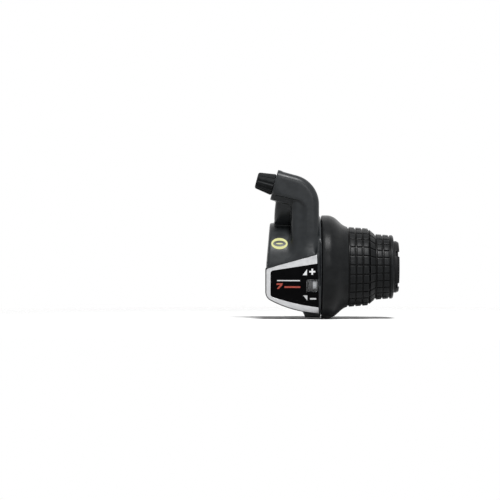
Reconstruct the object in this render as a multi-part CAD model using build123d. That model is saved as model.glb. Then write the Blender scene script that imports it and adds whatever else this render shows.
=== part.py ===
from build123d import *
import os
from math import atan2, cos, degrees, radians, sin, tan

# Right-hand twist shifter. Millimetres. X runs along the handlebar, outboard positive.
# -Y faces the rider, +Z is the way the gooseneck rises. The origin lies on the bar axis
# in the gap between the housing and the twist grip.

# Handlebar and running fits
BAR_DIAMETER = 22.2
BAR_CLEARANCE = 0.05
SLEEVE_WALL = 1.3
TURN_CLEARANCE = 0.1
END_PLAY = 0.2
FIT = 0.1
BODY_GAP = 0.35

# Lengths along the bar
PARTING_GAP = 0.5
HOUSING_LENGTH = 27.4
END_WALL = 2.6
SLEEVE_INSET = 0.3
CLAMP_LENGTH = 7.6
BULKHEAD = 1.4
SPOOL_GAP = 0.45
NUMBER_LENGTH = 6.0
GRIP_LENGTH = 36.5
RETAINER_LENGTH = 2.6

# Housing drum and rim
RIM_RADIUS = 25.8
RIM_LENGTH = 7.6
DRUM_STEP = 3.4
SHOULDER = 1.5
WALL = 1.6
TOP_LEAN = 1.8
DRUM_ROUND = 0.9
LOW_LEFT_RISE = 8.6
LOW_CORNER = (2.6, 6.2)
LOW_BOW = (0.5135, 2.6)
LOW_INSET = 0.3

# Indicator shield: a bezel and a panel on one crowned surface
SHIELD_Y = 10.0
SHIELD_Z = 4.0
SHIELD_RISE = 10.2
SHIELD_SLOPE = 0.16
PLATE = 1.8
LIP = 0.5
LIP_DROP = 0.9
SEAT_BACK = 10.0
PANEL_SINK = 0.35
BEZEL_EDGE = 0.35
BEZEL_RIGHT = 1.1
BEZEL_RIGHT_TOP = 2.3
BEZEL_OVERHANG = 0.15
BEZEL_TOP_RIGHT_Z = 6.2
BEZEL_TOP_LEFT_Z = -0.8
BEZEL_LEFT_RISE = 1.4
BEZEL_CORNER = (2.0, 3.9)
BEZEL_TURN = (0.3, 0.62)
BEZEL_BOW = (0.489, 2.1)
BEZEL_LOW_RISE = 2.5
BEZEL_ROUND = 1.2
BAND_TOP_RIGHT = 4.5
BAND_TOP_LEFT = 1.15
BAND_LEFT = 2.2
BAND_LOW = 3.1
PANEL_ROUND = 1.6

# Gear window and numbers
POSITIONS = 7
CLICK_ANGLE = 16.0
WINDOW_LEFT = 7.6
WINDOW_TOP_Z = -6.2
WINDOW_LOW_Z = -12.5
LENS = 1.0
NUMBER_INSET = 4.6
NUMBER_WALL = 1.4
HUB_RADIUS = 16.5

# Gooseneck
NECK_RIGHT = 1.1
NECK_OUTER_RADIUS = 15.0
NECK_INNER_RADIUS = 4.3
ARM_TILT = 15.0
RIDGE_WIDTH = 7.7
NECK_WIDTH = 14.0
RIDGE_RISE = 1.0
NECK_BACK = 8.6
RIDGE_ROUND = 3.4
INNER_ROUND = 0.9
ARM_INSET = 3.75
ARM_RISE = 15.6
ARM_LOW = 4.7
ARM_TOP = 7.4
FLARE_Z = 9.0
FLARE_FOOT_Z = -0.6
FLARE_RADIUS = 13.0
FLARE_INSET = 4.5
FOOT_ROUND = 2.0
COLLAR_HALF = 7.7
COLLAR_LENGTH = 2.2
BLOCK_LENGTH = 10.7
BLOCK_DROP = 2.8
WEB_INSET = 4.0
WEB_DROP = 4.0
WEB_FOOT = 8.0
WEB_SWEEP = ((0, 1.2, 0), (0.35, 0.4, 0.04), (0.7, 0, 0.38), (1, 0.1, 1))
WEB_ROUND = 4.0
STRIP_ROUND = 3.0
COVER_THICKNESS = 1.6
COVER_WIDTH = 8.4

# Cable and spool
CABLE_RADIUS = 15.0
CABLE_DIAMETER = 1.2
CHANNEL = 2.6
CABLE_BEND = 9.0
SPOOL_RADIUS = 17.2
SPOOL_FLANGE = 0.8
GROOVE = 1.6
RATCHET_LENGTH = 5.0
NOTCH_RADIUS = 1.15
NIPPLE_DIAMETER = 4.6
DOGS = 4
DOG_ANGLE = 40.0
DOG_LENGTH = 3.0
DOG_HEIGHT = 1.1
SPRING_THICKNESS = 0.35
SPRING_WIDTH = 3.6
SPRING_ARC = 70.0
SPRING_ANGLE = 35.0
SPRING_HOOK = 1.1

# Bar clamp
EAR_HALF = 5.2
EAR_TOP = 17.1
CLAMP_RING = 1.5
CLAMP_SLIT = 1.8
BOLT_DIAMETER = 4.0
BOLT_Z = 14.3
HEAD_DIAMETER = 7.0
HEAD_HEIGHT = 4.0
HEAD_CHAMFER = 0.4
HEX_KEY = 3.0
HEX_DEPTH = 2.4
NUT_SIDE = 5.0
NUT_THICKNESS = 2.4

# Small screws
SCREW_DIAMETER = 2.6
SCREW_HEAD = 4.8
SCREW_HEAD_HEIGHT = 1.3
SCREW_RECESS = 5.2
SCREW_SLOT = 1.2
SCREW_SINK = 1.8
SCREW_Y = 14.9
SCREW_Z = 3.0
BOSS_RADIUS = 2.7
COVER_SCREW_LENGTH = 6.0

# Twist grip
FLANGE_STEP = 0.5
FLANGE_LENGTH = 2.8
LARGE_RADIUS = 20.4
LARGE_END_RADIUS = 19.6
SMALL_START_RADIUS = 16.8
SMALL_RADIUS = 16.2
FLARE_END = 13.3
FLARE_BOW = ((0.53, 0.26), (0.76, 0.72))
FLARE_SLOPES = (-0.02, -0.12)
BLOCK_PITCH = 3.45
BLOCK_COLUMNS = 6
LARGE_COLUMNS = 3
BLOCK_ROWS = 26
BLOCK_TURN = 3.0
GRIP_GROOVE = 0.8
GRIP_GROOVE_DEPTH = 0.9
BEAD_CHAMFER = 1.0
RUBBER_WALL = 2.1
CORE_FLANGE = 1.5
CORE_RIM = 1.9
CORE_LAND = 4.5
CORE_RELIEF = 2.3
RING_RADIUS = 13.15
RING_NOTCH_DEPTH = 1.8
RING_NOTCHES = (31.5, -47.5, 148.5, -132.5)
RING_NOTCH_ANGLE = 13.0
RING_CHAMFER = 0.6
RING_SEAT = 0.45

# Barrel adjuster
BARREL_GAP = 0.15
BARREL_LENGTH = 9.0
BARREL_ROOT = 11.0
BARREL_TIP = 8.6
BARREL_ROUND = 1.2
FLUTES = 12
FLUTE_RADIUS = 0.9
FLUTE_DEPTH = 0.45
CASING_DIAMETER = 5.3
SOCKET_DEPTH = 5.6
SEAT_DIAMETER = 4.4
SEAT_THICKNESS = 1.2
STEM_DIAMETER = 5.0
STEM_LENGTH = 8.2
STEM_IN_BARREL = 0.9
STEM_HEAD = 6.4
STEM_BORE = 2.0
THREAD_CLEARANCE = 0.05
ADJUSTER_NUT_SIDE = 8.0
ADJUSTER_NUT_THICKNESS = 2.7
ADJUSTER_NUT_DEPTH = 3.4

# Derived places
bore_r = BAR_DIAMETER / 2 + BAR_CLEARANCE
sleeve_r = bore_r + SLEEVE_WALL
turn_r = sleeve_r + TURN_CLEARANCE
x_face = -PARTING_GAP / 2
x_grip = PARTING_GAP / 2
x_end = x_face - HOUSING_LENGTH
x_chamber = x_end + END_WALL
x_bulkhead = x_chamber + CLAMP_LENGTH
x_spool = x_bulkhead + END_PLAY
x_number_end = x_face - BODY_GAP
x_number = x_number_end - NUMBER_LENGTH
x_spool_end = x_number - SPOOL_GAP
x_cable = x_spool_end - SPOOL_FLANGE - GROOVE / 2
x_tip = x_grip + GRIP_LENGTH
x_ring = x_tip + END_PLAY
x_ring_end = x_ring + RETAINER_LENGTH
x_sleeve = x_end + SLEEVE_INSET
x_shoulder = x_face - RIM_LENGTH
x_low = x_shoulder - SHOULDER - LOW_INSET
drum_r = RIM_RADIUS - DRUM_STEP
flange_r = RIM_RADIUS + FLANGE_STEP
number_r = RIM_RADIUS - NUMBER_INSET
shield_r = RIM_RADIUS + SHIELD_RISE
low_left_z = LOW_LEFT_RISE - drum_r
bezel_left = x_end - BEZEL_OVERHANG
bezel_right = x_face - BEZEL_RIGHT
bezel_right_top = x_face - BEZEL_RIGHT_TOP
bezel_low_z = BEZEL_LOW_RISE - RIM_RADIUS
bezel_left_z = low_left_z + BEZEL_LEFT_RISE
bezel_mid_x = x_face - BEZEL_BOW[0] * HOUSING_LENGTH
bezel_mid_z = bezel_low_z + BEZEL_BOW[1]
spool_chamber_r = SPOOL_RADIUS + 2 * BODY_GAP + SPRING_THICKNESS
number_chamber_r = number_r + 2 * BODY_GAP
y_cable = -CABLE_RADIUS
spigot_r = sleeve_r - RING_SEAT
neck_right = x_face - NECK_RIGHT
neck_front = drum_r + RIDGE_RISE
x_bolt = x_chamber + HEAD_DIAMETER / 2 + FIT

# Arm directions in the front view: along runs outward, across runs up over the arm.
along = Vector(-cos(radians(ARM_TILT)), 0, sin(radians(ARM_TILT)))
across = Vector(sin(radians(ARM_TILT)), 0, cos(radians(ARM_TILT)))
arm_end = Vector(x_end + ARM_INSET, 0, RIM_RADIUS + ARM_RISE)
adjuster_origin = Vector(arm_end.X, y_cable, arm_end.Z)
adjuster_plane = Plane(origin=adjuster_origin, x_dir=(0, 1, 0), z_dir=along)

FAR = 60.0
SKIN = 0.01


def turned(points):
    """Solid of revolution about the bar from (x, radius) points."""
    return revolve(make_face(Polyline([(x, 0, r) for x, r in points], close=True)), Axis.X)


def ring(outer, inner, x0, x1):
    return turned([(x0, inner), (x1, inner), (x1, outer), (x0, outer)])


def disc(radius, x0, x1):
    return Pos(x0, 0, 0) * extrude(Plane.YZ * Circle(radius), amount=x1 - x0)


def block(x0, x1, y0, y1, z0, z1):
    return Pos((x0 + x1) / 2, (y0 + y1) / 2, (z0 + z1) / 2) * Box(x1 - x0, y1 - y0, z1 - z0)


def rod_y(radius, x, z, y0, y1):
    """Round bar along Y."""
    return Pos(x, y1, z) * extrude(Plane.XZ * Circle(radius), amount=y1 - y0)


def rod_x(radius, y, z, x0, x1):
    """Round bar along X."""
    return Pos(x0, y, z) * extrude(Plane.YZ * Circle(radius), amount=x1 - x0)


def slab(face, y_front, y_back):
    """Front-view face given thickness between two depths."""
    return Pos(0, y_back, 0) * extrude(face, amount=y_back - y_front, dir=(0, -1, 0))


def polygon(points):
    return make_face(Polyline([(x, 0, z) for x, z in points], close=True))


def across_bar(points, x0, x1):
    """Profile of (y, z) points drawn out along the bar."""
    face = make_face(Polyline([(0, y, z) for y, z in points], close=True))
    return Pos(x0, 0, 0) * extrude(face, amount=x1 - x0, dir=(1, 0, 0))


def about_bar(angle, solid):
    """Turn about the bar: 0 is the front, positive angles go up."""
    return Rot(-angle, 0, 0) * solid


def shield(drop):
    """Everything behind the crowned indicator surface, lowered by drop."""
    x0 = x_end - WALL
    r_right = shield_r - drop
    r_left = r_right + SHIELD_SLOPE * (x0 - x_face)
    points = [(x0, SHIELD_Y, SHIELD_Z), (x0, SHIELD_Y, SHIELD_Z + r_left)]
    points += [(x_face, SHIELD_Y, SHIELD_Z + r_right), (x_face, SHIELD_Y, SHIELD_Z)]
    face = make_face(Polyline(points, close=True))
    return revolve(face, Axis((0, SHIELD_Y, SHIELD_Z), (1, 0, 0)))


def right_edge(z):
    """X of the indicator's leaning right edge at a height."""
    share = (z - bezel_low_z) / (BEZEL_TOP_RIGHT_Z - bezel_low_z)
    return bezel_right + share * (bezel_right_top - bezel_right)


def bezel_face():
    """Front view of the bezel: slanted top, upright left edge, bowed bottom."""
    corner_x, corner_z = BEZEL_CORNER
    low_left = (bezel_left + corner_x, 0, bezel_left_z - corner_z)
    upper = Polyline(
        (bezel_left, 0, bezel_left_z), (bezel_left, 0, BEZEL_TOP_LEFT_Z),
        (bezel_right_top, 0, BEZEL_TOP_RIGHT_Z), (bezel_right, 0, bezel_low_z),
    )
    bow = ThreePointArc((bezel_right, 0, bezel_low_z), (bezel_mid_x, 0, bezel_mid_z), low_left)
    turn = (bezel_left + corner_x * BEZEL_TURN[0], 0, bezel_left_z - corner_z * BEZEL_TURN[1])
    corner = ThreePointArc(low_left, turn, (bezel_left, 0, bezel_left_z))
    return make_face([upper, bow, corner])


def panel_face(grow):
    """Front view of the panel, open to the bezel's right edge."""
    left = bezel_left + BAND_LEFT - grow
    low_left = bezel_left_z - BAND_LEFT - grow
    low_right = bezel_low_z + BAND_LOW - grow
    top_right = BEZEL_TOP_RIGHT_Z - BAND_TOP_RIGHT + grow
    upper = Polyline(
        (left, 0, low_left), (left, 0, BEZEL_TOP_LEFT_Z - BAND_TOP_LEFT + grow),
        (right_edge(top_right), 0, top_right), (right_edge(low_right), 0, low_right),
    )
    middle = (bezel_mid_x, 0, bezel_mid_z + BAND_LOW - grow)
    bow = ThreePointArc((right_edge(low_right), 0, low_right), middle, (left, 0, low_left))
    return make_face([upper, bow])


def window_face(grow):
    left = x_face - WINDOW_LEFT - grow
    low = WINDOW_LOW_Z - grow
    top = WINDOW_TOP_Z + grow
    return polygon([(left, low), (right_edge(low), low), (right_edge(top), top), (left, top)])


def round_left_corners(solid, x_limit, radius):
    """Round the corner edges that run front to back left of x_limit."""
    edges = solid.edges().filter_by(Axis.Y).filter_by(lambda e: e.center().X < x_limit)
    return fillet(edges, radius)


def bezel():
    plate = round_left_corners(slab(bezel_face(), -FAR, 0), bezel_left + FIT, BEZEL_ROUND)
    hole = round_left_corners(slab(panel_face(FIT), -FAR, 0), bezel_left + BAND_LEFT, PANEL_ROUND)
    frame = (plate & shield(0)) - shield(PLATE) - hole
    outer = frame.faces().sort_by(SortBy.AREA)[-1]
    rim = [e for e in outer.outer_wire().edges() if e.center().X < right_edge(e.center().Z) - FIT]
    return fillet(rim, BEZEL_EDGE)


def panel():
    plate = round_left_corners(slab(panel_face(0), -FAR, 0), bezel_left + BAND_LEFT + FIT, PANEL_ROUND)
    return (plate & shield(PANEL_SINK)) - shield(PLATE) - slab(window_face(FIT), -FAR, 0)


def window_lens():
    return (slab(window_face(0), -FAR, 0) & shield(PANEL_SINK)) - shield(PANEL_SINK + LENS)


def drum():
    """Rim and drum of revolution, trimmed to the sleek lower left outline."""
    body = turned([
        (x_end, 0), (x_end, drum_r), (x_shoulder - SHOULDER, drum_r),
        (x_shoulder, RIM_RADIUS), (x_face, RIM_RADIUS), (x_face, 0),
    ])
    body = body & slab(drum_face(), -FAR, FAR)
    ends = body.faces().filter_by(lambda f: f.center().X < x_end + TOP_LEAN)
    edges = [e for f in ends for e in f.outer_wire().edges() if e.geom_type != GeomType.LINE]
    return fillet(edges, DRUM_ROUND)


def drum_face():
    """Front view of the drum: leaning left end and a sleek lower left corner."""
    corner_x = x_end + LOW_CORNER[0]
    corner_z = LOW_CORNER[1] - drum_r
    middle = (corner_x + LOW_BOW[0] * (x_low - corner_x), 0, LOW_BOW[1] - drum_r)
    low_z = -drum_r - LOW_INSET
    low = ThreePointArc((x_low, 0, low_z), middle, (corner_x, 0, corner_z))
    rest = Polyline(
        (corner_x, 0, corner_z), (x_end, 0, low_left_z), (x_end, 0, 0),
        (x_end + TOP_LEAN * FAR / drum_r, 0, FAR), (x_face, 0, FAR), (x_face, 0, -FAR),
        (x_low, 0, -FAR), (x_low, 0, low_z),
    )
    return make_face([low, rest])


def ridge_face():
    """Front view of the raised ridge: foot, upright, bend and arm."""
    inner_x = neck_right - RIDGE_WIDTH
    left = x_end + FLARE_INSET
    top = arm_end + across * ARM_TOP
    low = arm_end - across * ARM_LOW
    elbow = top - along * ((neck_right - top.X) / -along.X)
    nook = low - along * ((inner_x - low.X) / -along.X)
    face = polygon([
        (neck_right, FLARE_FOOT_Z), (neck_right, elbow.Z), (top.X, top.Z), (low.X, low.Z),
        (inner_x, nook.Z), (inner_x, FLARE_Z), (left, FLARE_FOOT_Z),
    ])
    face = round_corner(face, neck_right, elbow.Z, NECK_OUTER_RADIUS)
    face = round_corner(face, inner_x, nook.Z, NECK_INNER_RADIUS)
    return round_corner(face, inner_x, FLARE_Z, FLARE_RADIUS)


def round_corner(face, x, z, radius):
    """Round the front-view corner at (x, z)."""
    return fillet(face.vertices().sort_by_distance((x, 0, z))[0], radius)


def ridge():
    """Raised ridge with a full outer edge and a tighter inner edge."""
    body = slab(ridge_face(), -neck_front, -NECK_BACK)
    front = body.faces().sort_by(Axis.Y)[0]
    inner_x = neck_right - RIDGE_WIDTH
    middle = arm_end + across * (ARM_TOP - ARM_LOW) / 2
    outer = []
    inner = []
    for e in front.edges():
        c = e @ 0.5
        over = (c - middle).dot(across)
        if c.X > inner_x + RIDGE_RISE or over > RIDGE_RISE:
            outer.append(e)
        elif over < -RIDGE_RISE and c.Z > FLARE_FOOT_Z + RIDGE_RISE:
            inner.append(e)
    outer = [e for e in outer if e.center().Z > FLARE_FOOT_Z + RIDGE_RISE]
    body = fillet(outer, RIDGE_ROUND)
    near = [body.edges().sort_by_distance(e @ 0.5)[0] for e in inner]
    return fillet(near, INNER_ROUND)


def foot():
    """Foot of the ridge, swelling out to the rim and the indicator, rounded along its sweep."""
    body = slab(ridge_face(), -FAR, -NECK_BACK) & disc(RIM_RADIUS, x_end, x_face) & shield(0)
    inner_x = neck_right - RIDGE_WIDTH
    sweep = []
    for e in body.edges().filter_by(Axis.Y, reverse=True):
        c = e @ 0.5
        beside = c.X < inner_x + RIDGE_RISE and c.Z > FLARE_FOOT_Z + RIDGE_RISE
        if beside and c.Y < -NECK_BACK - WALL:
            sweep.append(e)
    return fillet(sweep, FOOT_ROUND)


def neck_strip():
    """Recessed strip between the ridge and the web, rounded towards the web."""
    left = neck_right - NECK_WIDTH
    right = neck_right - RIDGE_WIDTH + RIDGE_ROUND
    top = arm_end.Z - ARM_LOW
    body = slab(polygon([(left, 0), (right, 0), (right, top), (left, top)]), -drum_r, -NECK_BACK)
    edge = body.edges().filter_by(Axis.Z).sort_by_distance((left, -drum_r, top / 2))[0]
    return fillet(edge, STRIP_ROUND)


def web_section(height, left, front):
    """Level cut through the web, its front left corner rounded."""
    right = neck_right - NECK_WIDTH + STRIP_ROUND
    corners = [(left, front, height), (right, front, height), (right, WALL, height), (left, WALL, height)]
    face = make_face(Polyline(*corners, close=True))
    return fillet(face.vertices().sort_by_distance(corners[0])[0], WEB_ROUND)


def web():
    """Rear web in the nook between arm and drum, bulging left and sweeping back to the drum."""
    left = x_end + WEB_INSET
    top = arm_end.Z - ARM_LOW
    foot = drum_r - WALL
    front = WEB_DROP - neck_front
    levels = [
        web_section(top - (top - foot) * fall, left + tuck, front - (WEB_FOOT + front) * back)
        for fall, tuck, back in WEB_SWEEP
    ]
    behind = across_bar([(0, foot), (WALL, foot), (-NECK_BACK, top), (-FAR, top), (-FAR, foot)], left, 0)
    return loft(levels) & behind


def arm_box(u0, u1, v0, v1, y0, y1):
    """Box in the arm's own frame: u inward from the end face, v up over the arm."""
    frame = Plane(origin=arm_end, x_dir=-along, z_dir=(0, -1, 0))
    face = frame * make_face(Polyline((u0, v0), (u1, v0), (u1, v1), (u0, v1), close=True))
    return Pos(0, y1, 0) * extrude(face, amount=y1 - y0, dir=(0, -1, 0))


def collar():
    """Squared block that carries the adjuster, with a low lip round its end face."""
    body = arm_box(0, BLOCK_LENGTH, -COLLAR_HALF, ARM_LOW, BLOCK_DROP - neck_front, -NECK_BACK)
    edge = RIDGE_ROUND / 2
    lip = arm_box(0, COLLAR_LENGTH, -COLLAR_HALF, COLLAR_HALF, edge - neck_front, -NECK_BACK)
    lip = fillet(lip.edges().filter_by(Axis((0, 0, 0), tuple(along))), edge)
    return body + lip


def cable_path():
    """Centre line of the cable in the front view: up the neck, round the bend, out."""
    rise = (x_cable - arm_end.X) / -along.X
    corner = arm_end - along * rise
    reach = CABLE_BEND * tan(radians((90 - ARM_TILT) / 2))
    low = Vector(corner.X, 0, corner.Z - reach)
    out = corner + along * reach
    arc = RadiusArc(low, out, -CABLE_BEND)
    return [Line((corner.X, 0, 0), low), arc, Line(out, arm_end)]


def path_face(width):
    """Front-view band along the cable path."""
    low, arc, out = cable_path()
    half = width / 2
    centre = Vector(x_cable - CABLE_BEND, 0, (low @ 1).Z)
    bend = radians(90 - ARM_TILT)
    outer = CABLE_BEND + half
    inner = CABLE_BEND - half

    def at(radius, angle):
        return centre + Vector(radius * cos(angle), 0, radius * sin(angle))

    lines = [
        Line((x_cable + half, 0, 0), at(outer, 0)),
        ThreePointArc(at(outer, 0), at(outer, bend / 2), at(outer, bend)),
        Line(at(outer, bend), arm_end + across * half),
        Line(arm_end + across * half, arm_end - across * half),
        Line(arm_end - across * half, at(inner, bend)),
        ThreePointArc(at(inner, bend), at(inner, bend / 2), at(inner, 0)),
        Line(at(inner, 0), (x_cable - half, 0, 0)),
        Line((x_cable - half, 0, 0), (x_cable + half, 0, 0)),
    ]
    return make_face(lines)


def cover_plate(grow):
    """Plate on the back of the neck that closes the cable channel."""
    plate = slab(path_face(COVER_WIDTH + 2 * grow), -NECK_BACK - COVER_THICKNESS - grow, -NECK_BACK)
    low = block(-FAR, 0, -FAR, 0, 0, drum_r + WALL - grow)
    end = arm_box(-SKIN, COLLAR_LENGTH - grow, -FAR, FAR, -FAR, 0)
    return plate - low - end


def cover_screw_places():
    shift = (COVER_WIDTH + CHANNEL) / 4
    first = Vector(x_cable + shift, 0, RIM_RADIUS + SCREW_HEAD / 2)
    second = arm_end - along * BLOCK_LENGTH + across * shift
    return [first, second]


def screw(radius, length, head_radius, head_height):
    """Pan-head screw along +Z, head above z = 0, cross recess in the head."""
    body = Pos(0, 0, -length / 2) * Cylinder(radius, length)
    head = Pos(0, 0, head_height / 2) * Cylinder(head_radius, head_height)
    head = fillet(head.edges().sort_by(Axis.Z)[-1], head_height / 2)
    arm = head_radius + SCREW_SLOT / 2
    cross = Box(arm, SCREW_SLOT / 2, head_height) + Box(SCREW_SLOT / 2, arm, head_height)
    cross = Pos(0, 0, head_height) * cross
    return body + head - cross


def cover_screws():
    one = screw(SCREW_DIAMETER / 2, COVER_SCREW_LENGTH, SCREW_HEAD / 2, SCREW_HEAD_HEIGHT)
    return [Pos(p.X, -NECK_BACK, p.Z) * Rot(-90, 0, 0) * one for p in cover_screw_places()]


def housing_screws():
    length = END_WALL - SCREW_SINK + CLAMP_LENGTH / 2
    one = screw(SCREW_DIAMETER / 2, length, SCREW_HEAD / 2, SCREW_HEAD_HEIGHT)
    x0 = x_end + SCREW_SINK
    return [Pos(x0, side * SCREW_Y, SCREW_Z) * Rot(0, -90, 0) * one for side in (-1, 1)]


def clamp_room(grow):
    """Clamp ring, ears and screw bosses, used for the bracket and for its room in the housing."""
    room = disc(sleeve_r + CLAMP_RING + grow, x_chamber, x_bulkhead)
    room += block(x_chamber, x_bulkhead, -EAR_HALF - grow, EAR_HALF + grow, 0, EAR_TOP + grow)
    for side in (-1, 1):
        room += rod_x(BOSS_RADIUS + grow, side * SCREW_Y, SCREW_Z, x_chamber, x_bulkhead)
    return room


def bracket():
    """Sleeve on the bar, split clamp at its inboard end, bulkhead behind the spool."""
    body = turned([
        (x_sleeve, 0), (x_sleeve, sleeve_r), (x_ring, sleeve_r), (x_ring, spigot_r),
        (x_ring_end - RING_CHAMFER, spigot_r), (x_ring_end - RING_CHAMFER, 0),
    ])
    body += clamp_room(0)
    body += disc(SPOOL_RADIUS, x_bulkhead - BULKHEAD, x_bulkhead)
    body -= disc(bore_r, x_sleeve - WALL, x_ring_end)
    slit_end = x_bulkhead - BULKHEAD
    body -= block(x_sleeve - WALL, slit_end, -CLAMP_SLIT / 2, CLAMP_SLIT / 2, 0, EAR_TOP + WALL)
    relief = ring(SPOOL_RADIUS + WALL, bore_r - WALL, slit_end - CLAMP_SLIT / 2, slit_end)
    body -= relief & block(x_end, x_spool, -EAR_HALF * 2, EAR_HALF * 2, -sleeve_r / 2, FAR)
    body -= rod_y(BOLT_DIAMETER / 2 + FIT, x_bolt, BOLT_Z, -FAR, FAR)
    body -= rod_y(HEAD_DIAMETER / 2 + FIT, x_bolt, BOLT_Z, EAR_HALF, FAR)
    body -= block(
        x_bolt - NUT_SIDE / 2 - FIT, x_bolt + NUT_SIDE / 2 + FIT,
        -EAR_HALF - WALL, -EAR_HALF + NUT_THICKNESS, BOLT_Z - NUT_SIDE / 2 - FIT, FAR,
    )
    for side in (-1, 1):
        body -= rod_x(SCREW_DIAMETER / 2, side * SCREW_Y, SCREW_Z, x_chamber, x_chamber + CLAMP_LENGTH / 2)
    return body


def clamp_bolt():
    seat = EAR_HALF
    shank = rod_y(BOLT_DIAMETER / 2, x_bolt, BOLT_Z, -EAR_HALF, seat)
    head = rod_y(HEAD_DIAMETER / 2, x_bolt, BOLT_Z, seat, seat + HEAD_HEIGHT)
    head = chamfer(head.edges().filter_by(GeomType.CIRCLE).sort_by(Axis.Y)[-1], HEAD_CHAMFER)
    key = Plane.XZ * RegularPolygon(HEX_KEY / 2, 6, major_radius=False)
    key = Pos(x_bolt, seat + HEAD_HEIGHT, BOLT_Z) * extrude(key, amount=HEX_DEPTH)
    return shank + head - key


def clamp_nut():
    half = NUT_SIDE / 2
    y0 = -EAR_HALF
    nut = block(x_bolt - half, x_bolt + half, y0, y0 + NUT_THICKNESS, BOLT_Z - half, BOLT_Z + half)
    return nut - rod_y(BOLT_DIAMETER / 2, x_bolt, BOLT_Z, -FAR, FAR)


def spring_place(solid):
    """The click spring sits at the back, a little above the middle."""
    return about_bar(180 - SPRING_ANGLE, solid)


def click_spring():
    """Bowed leaf with a round nose in the ratchet and hooked ends."""
    r0 = SPOOL_RADIUS + BODY_GAP
    r1 = r0 + SPRING_THICKNESS
    x0 = x_spool + (RATCHET_LENGTH - SPRING_WIDTH) / 2
    x1 = x0 + SPRING_WIDTH
    band = ring(r1, r0, x0, x1)
    half = SPRING_ARC / 2
    wedge_r = 2 * FAR
    wedge = across_bar(
        [(0, 0), (-wedge_r * cos(radians(half)), -wedge_r * sin(radians(half))),
         (-wedge_r * cos(radians(half)), wedge_r * sin(radians(half)))], x0, x1,
    )
    leaf = band & wedge
    nose = rod_x(NOTCH_RADIUS - FIT, -r0 - SPRING_THICKNESS / 2, 0, x0, x1)
    leaf += nose & disc(r1, x0, x1)
    for side in (-1, 1):
        hook = block(x0, x1, -r1 - SPRING_HOOK, -r0, -SPRING_THICKNESS / 2, SPRING_THICKNESS / 2)
        leaf += about_bar(side * half, hook)
    return spring_place(leaf)


def spring_pockets():
    """Slots in the drum wall that hold the spring's hooked ends."""
    x0 = x_spool + (RATCHET_LENGTH - SPRING_WIDTH) / 2 - FIT
    x1 = x0 + SPRING_WIDTH + 2 * FIT
    r1 = SPOOL_RADIUS + BODY_GAP + SPRING_THICKNESS + SPRING_HOOK + FIT
    slots = []
    for side in (-1, 1):
        slot = block(x0, x1, -r1, -SPOOL_RADIUS, -SPRING_THICKNESS / 2 - FIT, SPRING_THICKNESS / 2 + FIT)
        slots.append(spring_place(about_bar(side * SPRING_ARC / 2, slot)))
    return slots


def cavity():
    """Spool chamber, number chamber and the room for the bracket's clamp."""
    inner = slab(drum_face(), -FAR, FAR)
    room = disc(spool_chamber_r, x_bulkhead - BULKHEAD - FIT, x_number - BODY_GAP)
    room += disc(number_chamber_r, x_number - BODY_GAP, x_face)
    room += clamp_room(FIT)
    room = room & inner
    return room + disc(sleeve_r + FIT, x_end - WALL, x_chamber)


def housing():
    """One moulding: drum, rim, indicator seat, gooseneck, web and collar."""
    seat_face = offset(bezel_face(), LIP)
    body = drum() + (slab(seat_face, -FAR, -SEAT_BACK) & shield(LIP_DROP))
    body += ridge()
    body += foot()
    body += neck_strip()
    body += web()
    body += collar()
    body -= slab(offset(bezel_face(), FIT), -FAR, 0) - shield(PLATE)
    body -= cavity()
    body -= slab(window_face(-WALL / 2), -FAR, 0) & block(-FAR, FAR, -FAR, 0, -FAR, 0)
    channel = slab(path_face(CHANNEL), y_cable - CHANNEL / 2, 0)
    body -= channel & block(-FAR, 0, -FAR, 0, CABLE_RADIUS / 2, FAR)
    body -= cover_plate(FIT)
    for p in cover_screw_places():
        body -= rod_y(SCREW_DIAMETER / 2, p.X, p.Z, -NECK_BACK - COVER_SCREW_LENGTH, 0)
    for slot in spring_pockets():
        body -= slot
    body -= adjuster_room()
    body -= rod_y(HEAD_DIAMETER / 2 + BODY_GAP, x_bolt, BOLT_Z, EAR_HALF, FAR)
    for side in (-1, 1):
        body -= rod_x(SCREW_DIAMETER / 2 + FIT, side * SCREW_Y, SCREW_Z, x_end - WALL, x_chamber)
        body -= rod_x(SCREW_RECESS / 2, side * SCREW_Y, SCREW_Z, x_end - WALL, x_end + SCREW_SINK)
    return body


def adjuster_room():
    """Stem hole and nut slot in the collar."""
    hole = Pos(0, 0, -STEM_LENGTH / 2) * Cylinder(STEM_DIAMETER / 2 + BODY_GAP, STEM_LENGTH + 2 * FIT)
    half = ADJUSTER_NUT_SIDE / 2 + FIT
    depth = ADJUSTER_NUT_DEPTH + ADJUSTER_NUT_THICKNESS
    slot = arm_box(ADJUSTER_NUT_DEPTH - FIT, depth + FIT, -half, half, y_cable - half, 0)
    return adjuster_plane.location * hole + slot


def adjuster_nut():
    half = ADJUSTER_NUT_SIDE / 2
    depth = ADJUSTER_NUT_DEPTH + ADJUSTER_NUT_THICKNESS
    body = arm_box(ADJUSTER_NUT_DEPTH, depth, -half, half, y_cable - half, y_cable + half)
    hole = Pos(0, 0, -STEM_LENGTH / 2) * Cylinder(STEM_DIAMETER / 2 + THREAD_CLEARANCE, 2 * STEM_LENGTH)
    return body - adjuster_plane.location * hole


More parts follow.
